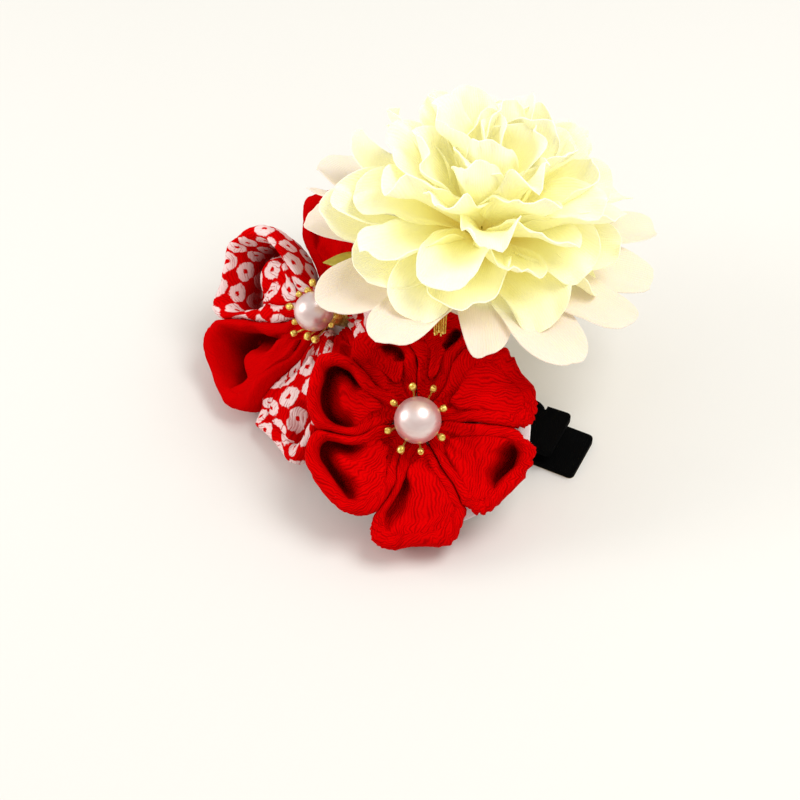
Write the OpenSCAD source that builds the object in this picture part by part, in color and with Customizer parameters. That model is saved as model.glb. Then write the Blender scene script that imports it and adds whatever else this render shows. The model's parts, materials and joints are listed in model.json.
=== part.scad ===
// Kanzashi hair clip: three cloth flowers on a ribbon-covered spring clip.
// X runs along the clip to its finger end and Z is up. The origin lies on the
// surface under the middle of the lower arm. All lengths are in millimetres.

/* [Clip] */
// Length of the lower arm
clip_length = 56; // [50:0.5:62]
// Width of both arms
clip_width = 10; // [9:0.5:12]
// Thickness of an arm with its ribbon
arm_thickness = 1.3; // [1.1:0.1:1.5]
// Distance from the hinge pin to the finger end of the lower arm
finger_length = 12; // [10:0.5:14]
// How much shorter the finger end of the upper arm is
finger_step = 4.6; // [3:0.2:5.4]
// Height of the pin's axis over the surface
pin_height = 2.7; // [2.6:0.1:3]
// Diameter of the hinge pin
pin_diameter = 1.1; // [0.9:0.1:1.2]
// Thickness of the ears of the lower arm
ear_thickness = 0.7; // [0.6:0.1:0.9]
// Radius of the round top of an ear
ear_radius = 2.2; // [2:0.1:2.6]
// Upward bend of the upper arm's finger end in degrees
finger_bend = 4; // [2:0.5:6]
// Wire thickness of the spring
spring_wire = 0.5; // [0.4:0.05:0.55]

/* [Front flower] */
// Radius of the front flower
front_radius = 21; // [19:0.5:22]
// Height of its petals
front_height = 9; // [8:0.5:10]
// Radius of the felt disc behind it
front_felt_radius = 17; // [16:0.5:17.5]
// How far the felt disc sits off the middle, to the right
front_felt_shift = 2.2; // [1.5:0.1:2.6]
// Place of the flower along the clip
front_x = 2; // [0:0.5:4]
// Distance of its back from the clip's middle line
front_out = 14.5; // [13.5:0.5:16]
// Angle of its face above level in degrees
front_elevation = 51; // [48:1:54]
// Compass angle of its face in degrees
front_azimuth = -64; // [-68:1:-60]
// Diameter of its pearl
front_pearl_diameter = 8; // [7:0.5:8.5]

/* [Left flower] */
// Radius of the left flower
left_radius = 25; // [23:0.5:26]
// Height of its petals
left_height = 10; // [9:0.5:11]
// Radius of the felt disc behind it
left_felt_radius = 11.5; // [10:0.5:12]
// Distance of the flower from the clip's middle, towards the nose
left_x = 18; // [17:0.5:20]
// Distance of its back from the clip's middle line
left_out = 2.5; // [1:0.5:4]
// Angle of its face above level in degrees
left_elevation = 41; // [38:1:44]
// Compass angle of its face in degrees
left_azimuth = -123; // [-127:1:-119]
// Diameter of its pearl
left_pearl_diameter = 7; // [6:0.5:7.5]

/* [Cream flower] */
// Longest reach of the outer layer from the axis
mum_reach = 31.5; // [28:0.5:33]
// Height of the middle petals over the outer layer
mum_height = 24; // [22:0.5:25]
// Thickness of a silk layer with its folds
silk_thickness = 1; // [1:0.1:1.3]
// Radius of the stem that the layers sit on
stem_radius = 2.2; // [1.8:0.1:2.4]
// Place of the flower along the clip
mum_x = 0.5; // [-1:0.5:2]
// Distance of its middle behind the clip's middle line
mum_behind = 12.5; // [11:0.5:14]
// Height of its outer layer over the surface
mum_z = 29.5; // [29:0.5:31]
// Lean of its axis away from upright in degrees
mum_lean = 9; // [6:1:12]

/* [Cloth and small parts] */
// Thickness of the felt discs
felt_thickness = 1.2; // [1:0.1:1.5]
// Wall of a petal with its rolled edge
petal_wall = 2.3; // [1.8:0.1:2.6]
// Gap between neighbouring petals at their sides
petal_gap = 0.35; // [0.2:0.05:0.6]
// Gap between pieces that are glued to each other
glue_gap = 0.1; // [0.05:0.05:0.2]
// Diameter of a stamen's wire
wire_diameter = 0.4; // [0.3:0.05:0.5]
// Diameter of a stamen's bulb
bulb_diameter = 1.5; // [1.2:0.1:1.7]

/* [Hidden] */

black = [0.05, 0.05, 0.06];
steel = [0.75, 0.75, 0.78];
red = [0.80, 0.02, 0.03];
dotted_red = [0.88, 0.35, 0.36];
white = [0.96, 0.94, 0.93];
cream = [0.98, 0.96, 0.76];
gold = [0.86, 0.66, 0.22];

smooth = 32;
running_gap = 0.2;
floor_gap = 0.6;
front_felt_side = -25;
left_drop = 0.88;
mum_lean_side = 79;

// Clip
bar_corner = 1;
ear_lift = 0.3;
bore_gap = 0.05;
nose_step = 0.5;
knuckle_share = 0.45;
knuckle_step = 0.4;
pin_x = clip_length / 2 - finger_length;
pin_radius = pin_diameter / 2;
bore_radius = pin_radius + bore_gap;
knuckle_radius = pin_height - arm_thickness - running_gap;
upper_under = pin_height + knuckle_share * knuckle_radius;
upper_top = upper_under + arm_thickness;
upper_nose_x = -clip_length / 2 + nose_step;
upper_tail_x = clip_length / 2 - finger_step;
tail_rise = (upper_tail_x - pin_x) * tan(finger_bend);
nose_under = arm_thickness + glue_gap;
ear_inside = clip_width / 2 - ear_thickness;
upper_neck = 2 * (ear_inside - running_gap);
neck_half = ear_radius + 2 * running_gap;
spring_width = 3.4;
coil_pitch = 0.9 * spring_wire;
spring_middle = pin_radius + glue_gap + spring_wire / 2;
spring_outer = spring_middle + spring_wire / 2;
coils = floor(spring_width / coil_pitch);

// Height of the upper arm's top at x, between the nose and the pin
function arm_top(x) =
    let (share = (x - upper_nose_x) / (pin_x - upper_nose_x))
    nose_under + arm_thickness + share * (upper_top - nose_under - arm_thickness);

// Flowers: their backs touch the surface at the lowest edge of the flower
front_z = (front_felt_radius - front_felt_shift * sin(front_felt_side)) * cos(front_elevation)
    + felt_thickness * sin(front_elevation) + floor_gap;
left_z = left_drop * left_radius * cos(left_elevation) + floor_gap;
front_place = [front_x, -front_out, front_z];
front_face = [0, 90 - front_elevation, front_azimuth];
left_place = [-left_x, -left_out, left_z];
left_face = [0, 90 - left_elevation, left_azimuth];
mum_place = [mum_x, mum_behind, mum_z];
mum_face = [0, mum_lean, mum_lean_side];

// Red petals. A row for each petal: angle round the flower, then shares of
// the flower's radius, of the free width and of the petal height, then the
// depth of its pocket as a share of its height and the squareness of its end.
petal_angle = 0;
petal_reach = 1;
petal_width = 2;
petal_tall = 3;
petal_depth = 4;
petal_square = 5;
front_petals = [
    [160, 1.00, 1.00, 1.00, 0.80, 2.4],
    [218, 1.00, 1.00, 1.00, 0.80, 2.4],
    [270, 1.04, 1.00, 0.95, 0.40, 4.0],
    [324, 1.00, 1.00, 1.00, 0.70, 3.6],
    [27, 0.97, 1.00, 0.95, 0.20, 4.0],
    [73, 0.92, 1.00, 0.80, 0.60, 2.4],
    [116, 0.86, 1.00, 0.68, 0.60, 2.4]
];
left_petals = [
    [147, 0.97, 0.64, 0.32, 0.70, 2.4],
    [192, 1.00, 1.00, 1.00, 0.80, 2.4],
    [246, 1.02, 1.00, 1.00, 0.80, 2.4],
    [300, 0.96, 1.00, 0.72, 0.70, 3.4],
    [345, 0.42, 0.90, 0.50, 0.60, 2.4],
    [40, 0.44, 1.00, 0.55, 0.60, 2.4]
];
widest_side = 31.5;

// Wall of a petal cup from the middle of its bottom over the rolled edge:
// inset in walls, then height as a share of the petal. The pocket's rows give
// how deep they lie, as a share of the pocket's depth.
cup_rows = [
    [1.50, 0.00],
    [0.80, 0.07],
    [0.30, 0.42],
    [0.00, 0.80],
    [0.12, 0.94],
    [0.50, 1.00]
];
pocket_rows = [
    [0.95, 0.12],
    [1.30, 0.56],
    [1.90, 0.92]
];
loop_points = 20;
inner_radius = 2.6;
middle_share = 0.58;
widest = 0.70;
tip_share = 0.08;
low_edge = 0.52;

// Distance from the flower's axis at which a petal is widest
function widest_at(reach) = inner_radius + widest * (reach - inner_radius);

// Half of a petal's width at the share u of its length, as a share of its
// widest: it follows the wedge that its neighbours leave, then a round end
function petal_half(u, start, square) =
    u < widest
        ? min(1, sqrt(u / tip_share)) * (start + (1 - start) * u / widest)
        : pow(max(0, 1 - pow((u - widest) / (1 - widest), square)), 1 / square);

// Height of the rolled edge: lower near the pearl, full at the outer end
function edge_height(u) = low_edge + (1 - low_edge) * sin(90 * min(1, 1.25 * u));

// Middle of a petal's bottom and of its pocket, as a distance from the axis
function middle_at(reach) = inner_radius + middle_share * (reach - inner_radius);

// One point of a petal's loop: i counts round the loop, and halves are the
// half widths to its right and to its left
function petal_point(i, inset, tall, reach, halves, height, square) =
    let (
        t = 360 * i / loop_points,
        u = (1 - cos(t)) / 2,
        middle = middle_at(reach),
        x = inner_radius + u * (reach - inner_radius),
        half = sin(t) < 0 ? halves[0] : halves[1],
        y = half * petal_half(u, inner_radius / widest_at(reach), square) * (sin(t) < 0 ? -1 : 1),
        shrink = 1 - inset * petal_wall / half,
        pull = 1 - 2 * inset * petal_wall / (halves[0] + halves[1])
    )
    [middle + (x - middle) * pull, y * shrink, tall * height * edge_height(u)];

// A petal as one closed cup with a pocket that opens away from the felt
module petal_cup(reach, halves, height, depth, square) {
    steps = concat(cup_rows, [for (row = pocket_rows) [row[0], 1 - depth * row[1]]]);
    rows = len(steps);
    points = concat(
        [for (row = steps)
            for (i = [0 : loop_points - 1])
                petal_point(i, row[0], row[1], reach, halves, height, square)],
        [[middle_at(reach), 0, 0], [middle_at(reach), 0, (1 - depth) * height]]
    );
    bottom = rows * loop_points;
    pocket = bottom + 1;
    faces = concat(
        [for (i = [0 : loop_points - 1]) [bottom, (i + 1) % loop_points, i]],
        [for (r = [0 : rows - 2])
            for (i = [0 : loop_points - 1])
                let (
                    j = (i + 1) % loop_points,
                    a = r * loop_points,
                    b = a + loop_points
                )
                each [[a + i, b + j, b + i], [a + i, a + j, b + j]]],
        [for (i = [0 : loop_points - 1])
            let (a = (rows - 1) * loop_points)
            [pocket, a + i, a + (i + 1) % loop_points]]
    );
    polyhedron(points = points, faces = faces, convexity = 6);
}

// Angle from row a of a table of petals on to row b
function turn_to(table, a, b) = (table[b][petal_angle] - table[a][petal_angle] + 360) % 360;

// Half width of petal k on the side where the free angle is turn
function side_half(table, k, reach, turn) =
    (widest_at(reach) * tan(min(widest_side, turn / 2)) - petal_gap / 2) * table[k][petal_width];

module flower_petal(table, k, radius, height) {
    n = len(table);
    row = table[k];
    reach = radius * row[petal_reach];
    halves = [
        side_half(table, k, reach, turn_to(table, (k + n - 1) % n, k)),
        side_half(table, k, reach, turn_to(table, k, (k + 1) % n))
    ];
    rotate([0, 0, row[petal_angle]])
        translate([0, 0, glue_gap])
            petal_cup(reach, halves, height * row[petal_tall], row[petal_depth], row[petal_square]);
}

module felt_disc(radius) {
    translate([0, 0, -felt_thickness])
        cylinder(r = radius, h = felt_thickness, $fn = 64);
}

// Stamens. A row for each: angle, then the bulb's distance from the axis and
// its height over the collar, as shares of the pearl's diameter.
tip_angle = 0;
tip_out = 1;
tip_up = 2;
front_tips = [
    [99, 0.71, 0.42], [64, 0.74, 0.40], [25, 0.60, 0.36], [325, 0.62, 0.36],
    [276, 0.66, 0.40], [241, 0.72, 0.42], [200, 0.66, 0.36], [145, 0.62, 0.36]
];
left_tips = [
    [95, 0.86, 0.50], [122, 0.80, 0.44], [143, 0.76, 0.50], [165, 0.66, 0.40],
    [185, 0.78, 0.46], [212, 0.86, 0.52], [240, 0.74, 0.42], [262, 0.84, 0.50],
    [290, 0.66, 0.40], [318, 0.70, 0.44], [10, 0.66, 0.42], [50, 0.70, 0.46]
];
collar_radius = 1.5;
collar_share = 0.5;
wire_start = 0.8 * collar_radius;
wire_sink = 1;

module stamens(tips, pearl, height) {
    top = collar_share * height;
    cylinder(r = collar_radius, h = top - glue_gap, $fn = smooth);
    for (tip = tips) {
        aside = [cos(tip[tip_angle]), sin(tip[tip_angle])];
        out = tip[tip_out] * pearl;
        start = [wire_start * aside[0], wire_start * aside[1], top - wire_sink];
        end = [out * aside[0], out * aside[1], top + tip[tip_up] * pearl];
        way = end - start;
        flat = norm([way[0], way[1]]);
        translate(start)
            rotate([0, atan2(flat, way[2]), tip[tip_angle]])
                cylinder(d = wire_diameter, h = norm(way), $fn = 16);
        translate(end)
            sphere(d = bulb_diameter, $fn = 16);
    }
}

module pearl(diameter, height) {
    translate([0, 0, collar_share * height + diameter / 2])
        sphere(d = diameter, $fn = 48);
}

// Cream flower. A row for each layer: number of petals, turn in degrees,
// length as a share of the reach, slope at the stem and slope at the tip in
// degrees, cupping as a share of the length, where the petals part, and the
// share by which the layer is shorter beside the left flower.
layer_count = 0;
layer_turn = 1;
layer_length = 2;
layer_slope = 3;
layer_tip_slope = 4;
layer_cup = 5;
layer_part = 6;
layer_squeeze = 7;
mum_layers = [
    [9, 36, 0.93, 7, -4, 0.08, 0.50, 0.13],
    [9, 28, 0.86, 24, 4, 0.12, 0.50, 0],
    [8, 0, 0.84, 42, 24, 0.16, 0.45, 0],
    [7, 20, 0.76, 47, 54, 0.16, 0.40, 0],
    [5, 8, 0.62, 88, 81, 0.12, 0.40, 0]
];
left_flower_side = 105;
layer_step = 0.072 * mum_height;
hub_radius = stem_radius + running_gap;
across = 8;
along = 3;

// Run and rise of a strip whose slope turns evenly from a to b over length l
function strip_at(s, l, a, b) =
    let (k = (b - a) / l, now = a + k * s, f = 180 / PI)
    [f * (sin(now) - sin(a)) / k, f * (cos(a) - cos(now)) / k];

// A point of a layer: q turns through the petals, v runs from stem to tip
function layer_point(row, q, v, side) =
    let (
        n = row[layer_count],
        turn = row[layer_turn] + 360 * q / n,
        part = q - round(q),
        off = min(1, abs(2 * part)),
        full = row[layer_length] * mum_reach
            * (1 - row[layer_squeeze] * pow(max(0, cos(turn - left_flower_side)), 2)),
        own = full * (row[layer_part] + (1 - row[layer_part]) * pow(max(0, 1 - pow(off, 4)), 0.5)),
        s = max(0.001, v * own),
        place = strip_at(s, full, row[layer_slope], row[layer_tip_slope]),
        slope = row[layer_slope] + (row[layer_tip_slope] - row[layer_slope]) * s / full,
        lift = row[layer_cup] * full * v * off * off * 0.5 + side * silk_thickness / 2,
        r = hub_radius + silk_thickness / 2 * sin(max(0, slope)) + place[0] - lift * sin(slope),
        z = place[1] + lift * cos(slope) + silk_thickness / 2
    )
    [r * cos(turn), r * sin(turn), z];

// One layer of petals as a single closed sheet round the stem
module silk_layer(k) {
    row = mum_layers[k];
    steps = row[layer_count] * across;
    ring = 2 * (along + 1);
    points = [
        for (i = [0 : steps - 1])
            for (m = [0 : ring - 1])
                let (upper = m <= along, j = upper ? m : ring - 1 - m)
                layer_point(row, i / across, j / along, upper ? 1 : -1)
    ];
    faces = [
        for (i = [0 : steps - 1])
            for (m = [0 : ring - 1])
                let (
                    a = i * ring + m,
                    b = i * ring + (m + 1) % ring,
                    c = ((i + 1) % steps) * ring + (m + 1) % ring,
                    d = ((i + 1) % steps) * ring + m
                )
                each [[a, c, b], [a, d, c]]
    ];
    translate([0, 0, k * layer_step])
        polyhedron(points = points, faces = faces, convexity = 10);
}

calyx_depth = 9;
calyx_radius = 5.5;
weld = 0.01;

// Clip
module round_bar(x0, x1, width, corner) {
    translate([x0 + corner, -width / 2])
        square([x1 - x0 - 2 * corner, width]);
    translate([x0, -width / 2 + corner])
        square([x1 - x0, width - 2 * corner]);
    for (x = [x0 + corner, x1 - corner], y = [-1, 1])
        translate([x, y * (width / 2 - corner)])
            circle(r = corner, $fn = smooth);
}

module along_y(length) {
    translate([0, length / 2, 0])
        rotate([90, 0, 0])
            linear_extrude(length)
                children();
}

module clip_lower_arm() {
    color(black)
        difference() {
            union() {
                linear_extrude(arm_thickness)
                    round_bar(-clip_length / 2, clip_length / 2, clip_width, bar_corner);
                for (side = [-1, 1])
                    translate([0, side * (clip_width - ear_thickness) / 2, 0])
                        along_y(ear_thickness) {
                            translate([pin_x, pin_height + ear_lift])
                                circle(r = ear_radius, $fn = smooth);
                            translate([pin_x - ear_radius, arm_thickness / 2])
                                square([2 * ear_radius, pin_height]);
                        }
            }
            translate([pin_x, 0, pin_height])
                rotate([90, 0, 0])
                    cylinder(r = bore_radius, h = 2 * clip_width, center = true, $fn = smooth);
        }
}

module hinge_pin() {
    color(steel)
        translate([pin_x, 0, pin_height])
            rotate([90, 0, 0])
                cylinder(r = pin_radius, h = clip_width, center = true, $fn = smooth);
}

module clip_spring() {
    color(steel)
        translate([pin_x, 0, pin_height])
            rotate([90, 0, 0])
                rotate_extrude($fn = smooth)
                    for (i = [0 : coils - 1])
                        translate([spring_middle, (i - (coils - 1) / 2) * coil_pitch])
                            circle(d = spring_wire, $fn = 16);
}

module clip_upper_arm() {
    color(black)
        difference() {
            union() {
                intersection() {
                    along_y(clip_width)
                        polygon([
                            [upper_nose_x, nose_under],
                            [pin_x, upper_under],
                            [upper_tail_x, upper_under + tail_rise],
                            [upper_tail_x, upper_top + tail_rise],
                            [pin_x, upper_top],
                            [upper_nose_x, nose_under + arm_thickness]
                        ]);
                    linear_extrude(3 * upper_top)
                        round_bar(upper_nose_x, upper_tail_x, clip_width, bar_corner);
                }
                along_y(upper_neck) {
                    translate([pin_x, pin_height])
                        circle(r = knuckle_radius, $fn = smooth);
                    translate([pin_x - knuckle_radius, pin_height])
                        square([2 * knuckle_radius, upper_top - pin_height - knuckle_step]);
                }
            }
            for (side = [-1, 1])
                translate([pin_x - neck_half, side > 0 ? upper_neck / 2 : -clip_width, 0])
                    cube([2 * neck_half, clip_width - upper_neck / 2, 2 * upper_top]);
            translate([pin_x, 0, pin_height])
                rotate([90, 0, 0])
                    cylinder(r = bore_radius, h = 2 * clip_width, center = true, $fn = smooth);
            translate([pin_x, 0, pin_height])
                rotate([90, 0, 0])
                    cylinder(r = spring_outer + running_gap, h = spring_width + 2 * running_gap,
                        center = true, $fn = smooth);
        }
}

// Felt wedge that fills the space between the upper arm and the three flowers
pad_from = -0.4 * clip_length;
pad_to = 0.12 * clip_length;
pad_width = 0.9 * clip_width;
pad_thickness = 1;
seat_radius = 6;
front_seat_radius = 6;

module seat(radius) {
    translate([0, 0, -felt_thickness - glue_gap - pad_thickness])
        cylinder(r = radius, h = pad_thickness, $fn = 24);
}

// Strip of felt on the upper arm between two places along the clip
module pad(x0, x1) {
    along_y(pad_width)
        polygon([
            [x0, arm_top(x0) + glue_gap],
            [x1, arm_top(x1) + glue_gap],
            [x1, arm_top(x1) + glue_gap + pad_thickness],
            [x0, arm_top(x0) + glue_gap + pad_thickness]
        ]);
}

module mum_seat() {
    in_mum() translate([0, 0, -calyx_depth + felt_thickness]) seat(calyx_radius);
}

module flower_mount() {
    color(white) {
        hull() {
            pad(pad_from, pad_to);
            in_left() seat(seat_radius);
            mum_seat();
        }
        hull() {
            pad(-front_seat_radius, pad_to);
            in_front() seat(front_seat_radius);
            mum_seat();
        }
    }
}

module in_front() {
    translate(front_place) rotate(front_face) rotate([0, 0, 90]) children();
}

module in_left() {
    translate(left_place) rotate(left_face) rotate([0, 0, 90]) children();
}

module in_mum() {
    translate(mum_place) rotate(mum_face) children();
}

module front_felt() {
    color(white) in_front()
        rotate([0, 0, front_felt_side]) translate([front_felt_shift, 0, 0])
            felt_disc(front_felt_radius);
}
module front_petal(k) { color(red) in_front() flower_petal(front_petals, k, front_radius, front_height); }
module front_petal_1() { front_petal(0); }
module front_petal_2() { front_petal(1); }
module front_petal_3() { front_petal(2); }
module front_petal_4() { front_petal(3); }
module front_petal_5() { front_petal(4); }
module front_petal_6() { front_petal(5); }
module front_petal_7() { front_petal(6); }
module front_stamens() {
    color(gold) in_front() translate([0, 0, glue_gap])
        stamens(front_tips, front_pearl_diameter, front_height);
}
module front_pearl() {
    color(white) in_front() translate([0, 0, glue_gap])
        pearl(front_pearl_diameter, front_height);
}

module left_felt() { color(white) in_left() felt_disc(left_felt_radius); }
module left_petal(k) {
    color(k % 2 == 0 ? red : dotted_red)
        in_left() flower_petal(left_petals, k, left_radius, left_height);
}
module left_petal_1() { left_petal(0); }
module left_petal_2() { left_petal(1); }
module left_petal_3() { left_petal(2); }
module left_petal_4() { left_petal(3); }
module left_petal_5() { left_petal(4); }
module left_petal_6() { left_petal(5); }
module left_stamens() {
    color(gold) in_left() translate([0, 0, glue_gap])
        stamens(left_tips, left_pearl_diameter, left_height);
}
module left_pearl() {
    color(white) in_left() translate([0, 0, glue_gap])
        pearl(left_pearl_diameter, left_height);
}

module mum_calyx() {
    color(cream) in_mum() {
        translate([0, 0, -calyx_depth])
            cylinder(r1 = calyx_radius, r2 = stem_radius, h = calyx_depth - glue_gap, $fn = smooth);
        translate([0, 0, -glue_gap - weld])
            cylinder(r = stem_radius, h = len(mum_layers) * layer_step, $fn = smooth);
    }
}
module mum_ring(k) { color(cream) in_mum() silk_layer(k); }
module mum_ring_1() { mum_ring(0); }
module mum_ring_2() { mum_ring(1); }
module mum_ring_3() { mum_ring(2); }
module mum_ring_4() { mum_ring(3); }
module mum_ring_5() { mum_ring(4); }

clip_lower_arm();
hinge_pin();
clip_spring();
clip_upper_arm();
flower_mount();
front_felt();
front_petal_1();
front_petal_2();
front_petal_3();
front_petal_4();
front_petal_5();
front_petal_6();
front_petal_7();
front_stamens();
front_pearl();
left_felt();
left_petal_1();
left_petal_2();
left_petal_3();
left_petal_4();
left_petal_5();
left_petal_6();
left_stamens();
left_pearl();
mum_calyx();
mum_ring_1();
mum_ring_2();
mum_ring_3();
mum_ring_4();
mum_ring_5();
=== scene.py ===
"""Looks of a kanzashi hair clip: two folded crepe flowers and a full silk flower on a ribbon-covered clip.

Lengths are millimetres, as in the part's source. A piece is scaled to metres when it is finished.
"""

from __future__ import annotations

import json
import logging
import random
from dataclasses import dataclass, field, replace
from enum import Enum
from math import asin, atan2, cos, degrees, exp, hypot, pi, radians, sin, sqrt, tan
from typing import Sequence

import bmesh
import bpy
from mathutils import Matrix, Vector, noise

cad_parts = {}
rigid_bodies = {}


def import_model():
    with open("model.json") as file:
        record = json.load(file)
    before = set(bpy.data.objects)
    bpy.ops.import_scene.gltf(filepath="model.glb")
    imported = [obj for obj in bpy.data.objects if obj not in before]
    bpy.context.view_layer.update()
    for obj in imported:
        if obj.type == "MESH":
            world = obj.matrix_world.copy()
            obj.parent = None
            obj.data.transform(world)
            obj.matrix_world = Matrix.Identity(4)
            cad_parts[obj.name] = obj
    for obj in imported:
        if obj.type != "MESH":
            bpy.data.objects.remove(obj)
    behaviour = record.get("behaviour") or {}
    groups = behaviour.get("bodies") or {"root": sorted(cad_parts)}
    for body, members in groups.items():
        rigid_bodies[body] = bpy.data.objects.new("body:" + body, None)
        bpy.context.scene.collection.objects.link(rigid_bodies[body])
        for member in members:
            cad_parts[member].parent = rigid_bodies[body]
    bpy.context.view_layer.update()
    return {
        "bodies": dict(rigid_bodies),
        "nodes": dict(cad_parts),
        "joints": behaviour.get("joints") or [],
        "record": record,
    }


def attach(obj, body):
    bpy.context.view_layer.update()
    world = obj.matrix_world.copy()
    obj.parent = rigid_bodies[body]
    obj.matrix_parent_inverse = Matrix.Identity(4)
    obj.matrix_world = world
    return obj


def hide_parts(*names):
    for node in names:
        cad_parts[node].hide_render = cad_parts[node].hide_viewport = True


log = logging.getLogger("hair_clip")

MM = 0.001
UPPER = "upper_clip"
LOWER = "lower_clip"

Colour = tuple[float, float, float]
Place = tuple[float, float, float]
BMesh = bmesh.types.BMesh
BMVert = bmesh.types.BMVert
Material = bpy.types.Material
Socket = bpy.types.NodeSocket


class Slot(Enum):
    """The record's material slots."""

    RIBBON = "black_ribbon"
    STEEL = "spring_steel"
    FELT = "white_felt"
    GOLD = "gold_wire"
    PEARL = "pearl"
    RED = "red_crepe"
    DOTTED = "dotted_crepe"
    SILK = "cream_silk"


# Finishes


class Shading:
    """The node tree of one material, with short names for the nodes that the finishes use."""

    def __init__(self, name: str) -> None:
        """Starts a material with one principled shader.

        Args:
            name: Name of the material.
        """
        self.material = bpy.data.materials.new(name)
        self.material.use_nodes = True
        self.tree = self.material.node_tree
        self.shader = self.tree.nodes["Principled BSDF"]

    def node(self, kind: str, values: dict[str | int, object], **settings: object) -> bpy.types.Node:
        """Adds a node.

        Args:
            kind: Blender's name of the node type, without its first word.
            values: Numbers, colours or outputs for its inputs.
            **settings: Properties of the node.

        Returns:
            The new node.
        """
        node = self.tree.nodes.new(f"ShaderNode{kind}")
        for key, value in settings.items():
            setattr(node, key, value)
        for key, value in values.items():
            self.put(value, node.inputs[key])
        return node

    def put(self, value: object, socket: Socket) -> None:
        """Sets a socket to a number or colour, or links an output to it.

        Args:
            value: A number, a colour or an output socket.
            socket: The input socket.
        """
        if isinstance(value, Socket):
            self.tree.links.new(value, socket)
        else:
            socket.default_value = (*value, 1.0) if socket.type == "RGBA" else value

    def set(self, **values: object) -> None:
        """Sets the shader's own inputs, with spaces of their names written as underscores."""
        for key, value in values.items():
            self.put(value, self.shader.inputs[key.replace("_", " ")])

    def cloth_uv(self) -> Socket:
        """Gives the piece's own coordinates on the cloth, in millimetres."""
        return self.node("UVMap", {}, uv_map="cloth").outputs["UV"]

    def place(self, stretch: Place = (1.0, 1.0, 1.0)) -> Socket:
        """Gives Object coordinates in millimetres, times a stretch along each axis."""
        return self.scaled(self.node("TexCoord", {}).outputs["Object"], tuple(part / MM for part in stretch))

    def scaled(self, vector: Socket, scale: Place) -> Socket:
        """Multiplies a vector by another."""
        return self.node("Mapping", {"Vector": vector, "Scale": scale}).outputs["Vector"]

    def attribute(self, name: str) -> Socket:
        """Reads a number stored at the piece's points."""
        return self.node("Attribute", {}, attribute_name=name).outputs["Fac"]

    def split(self, vector: Socket) -> tuple[Socket, ...]:
        """Gives the parts of a vector."""
        return tuple(self.node("SeparateXYZ", {0: vector}).outputs)

    def math(self, operation: str, *values: object) -> Socket:
        """Works out one step of arithmetic, named as Blender does."""
        return self.node("Math", dict(enumerate(values)), operation=operation).outputs[0]

    def times(self, value: object, factor: object, plus: object = 0.0) -> Socket:
        """Multiplies a value by a factor and adds another value."""
        return self.math("MULTIPLY_ADD", value, factor, plus)

    def blend(self, a: object, b: object, share: float) -> Socket:
        """Adds up two numbers, of which b weighs share and a the rest."""
        return self.times(b, share, self.times(a, 1 - share))

    def step(self, value: object, low: float, high: float) -> Socket:
        """Gives a smooth change from 0 at low to 1 at high, where low may be the larger one."""
        ranges = {"From Min": min(low, high), "From Max": max(low, high), "To Min": low > high, "To Max": low < high}
        return self.node("MapRange", {"Value": value, **ranges}, interpolation_type="SMOOTHSTEP").outputs["Result"]

    def mix(self, share: object, a: object, b: object) -> Socket:
        """Mixes colour a with a share of colour b."""
        return self.node("Mix", {0: share, 6: a, 7: b}, data_type="RGBA").outputs[2]

    def ramp(self, value: Socket, stops: Sequence[tuple[float, Colour]]) -> Socket:
        """Turns a number into a colour.

        Args:
            value: The number.
            stops: Places from 0 to 1 and their colours.

        Returns:
            The colour's output.
        """
        node = self.node("ValToRGB", {"Fac": value})
        stripe = node.color_ramp.elements
        while len(stripe) < len(stops):
            stripe.new(0.5)
        for element, (position, colour) in zip(stripe, stops):
            element.position, element.color = position, (*colour, 1.0)
        return node.outputs["Color"]

    def cloud(self, vector: Socket, scale: float, detail: float = 2.0) -> Socket:
        """Gives smooth noise from 0 to 1."""
        return self.node("TexNoise", {"Vector": vector, "Scale": scale, "Detail": detail}).outputs["Fac"]

    def wave(self, along: Socket, pitch: float) -> Socket:
        """Gives a wave from 0 to 1 with that pitch."""
        return self.times(self.math("SINE", self.times(along, 2 * pi / pitch)), 0.5, 0.5)

    def raise_by(self, height: Socket, depth: float, strength: float = 1.0) -> None:
        """Gives the surface a relief of that depth in millimetres, from a height of 0 to 1."""
        bump = self.node("Bump", {"Distance": depth * MM, "Strength": strength, "Height": height})
        self.put(bump.outputs["Normal"], self.shader.inputs["Normal"])


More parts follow.
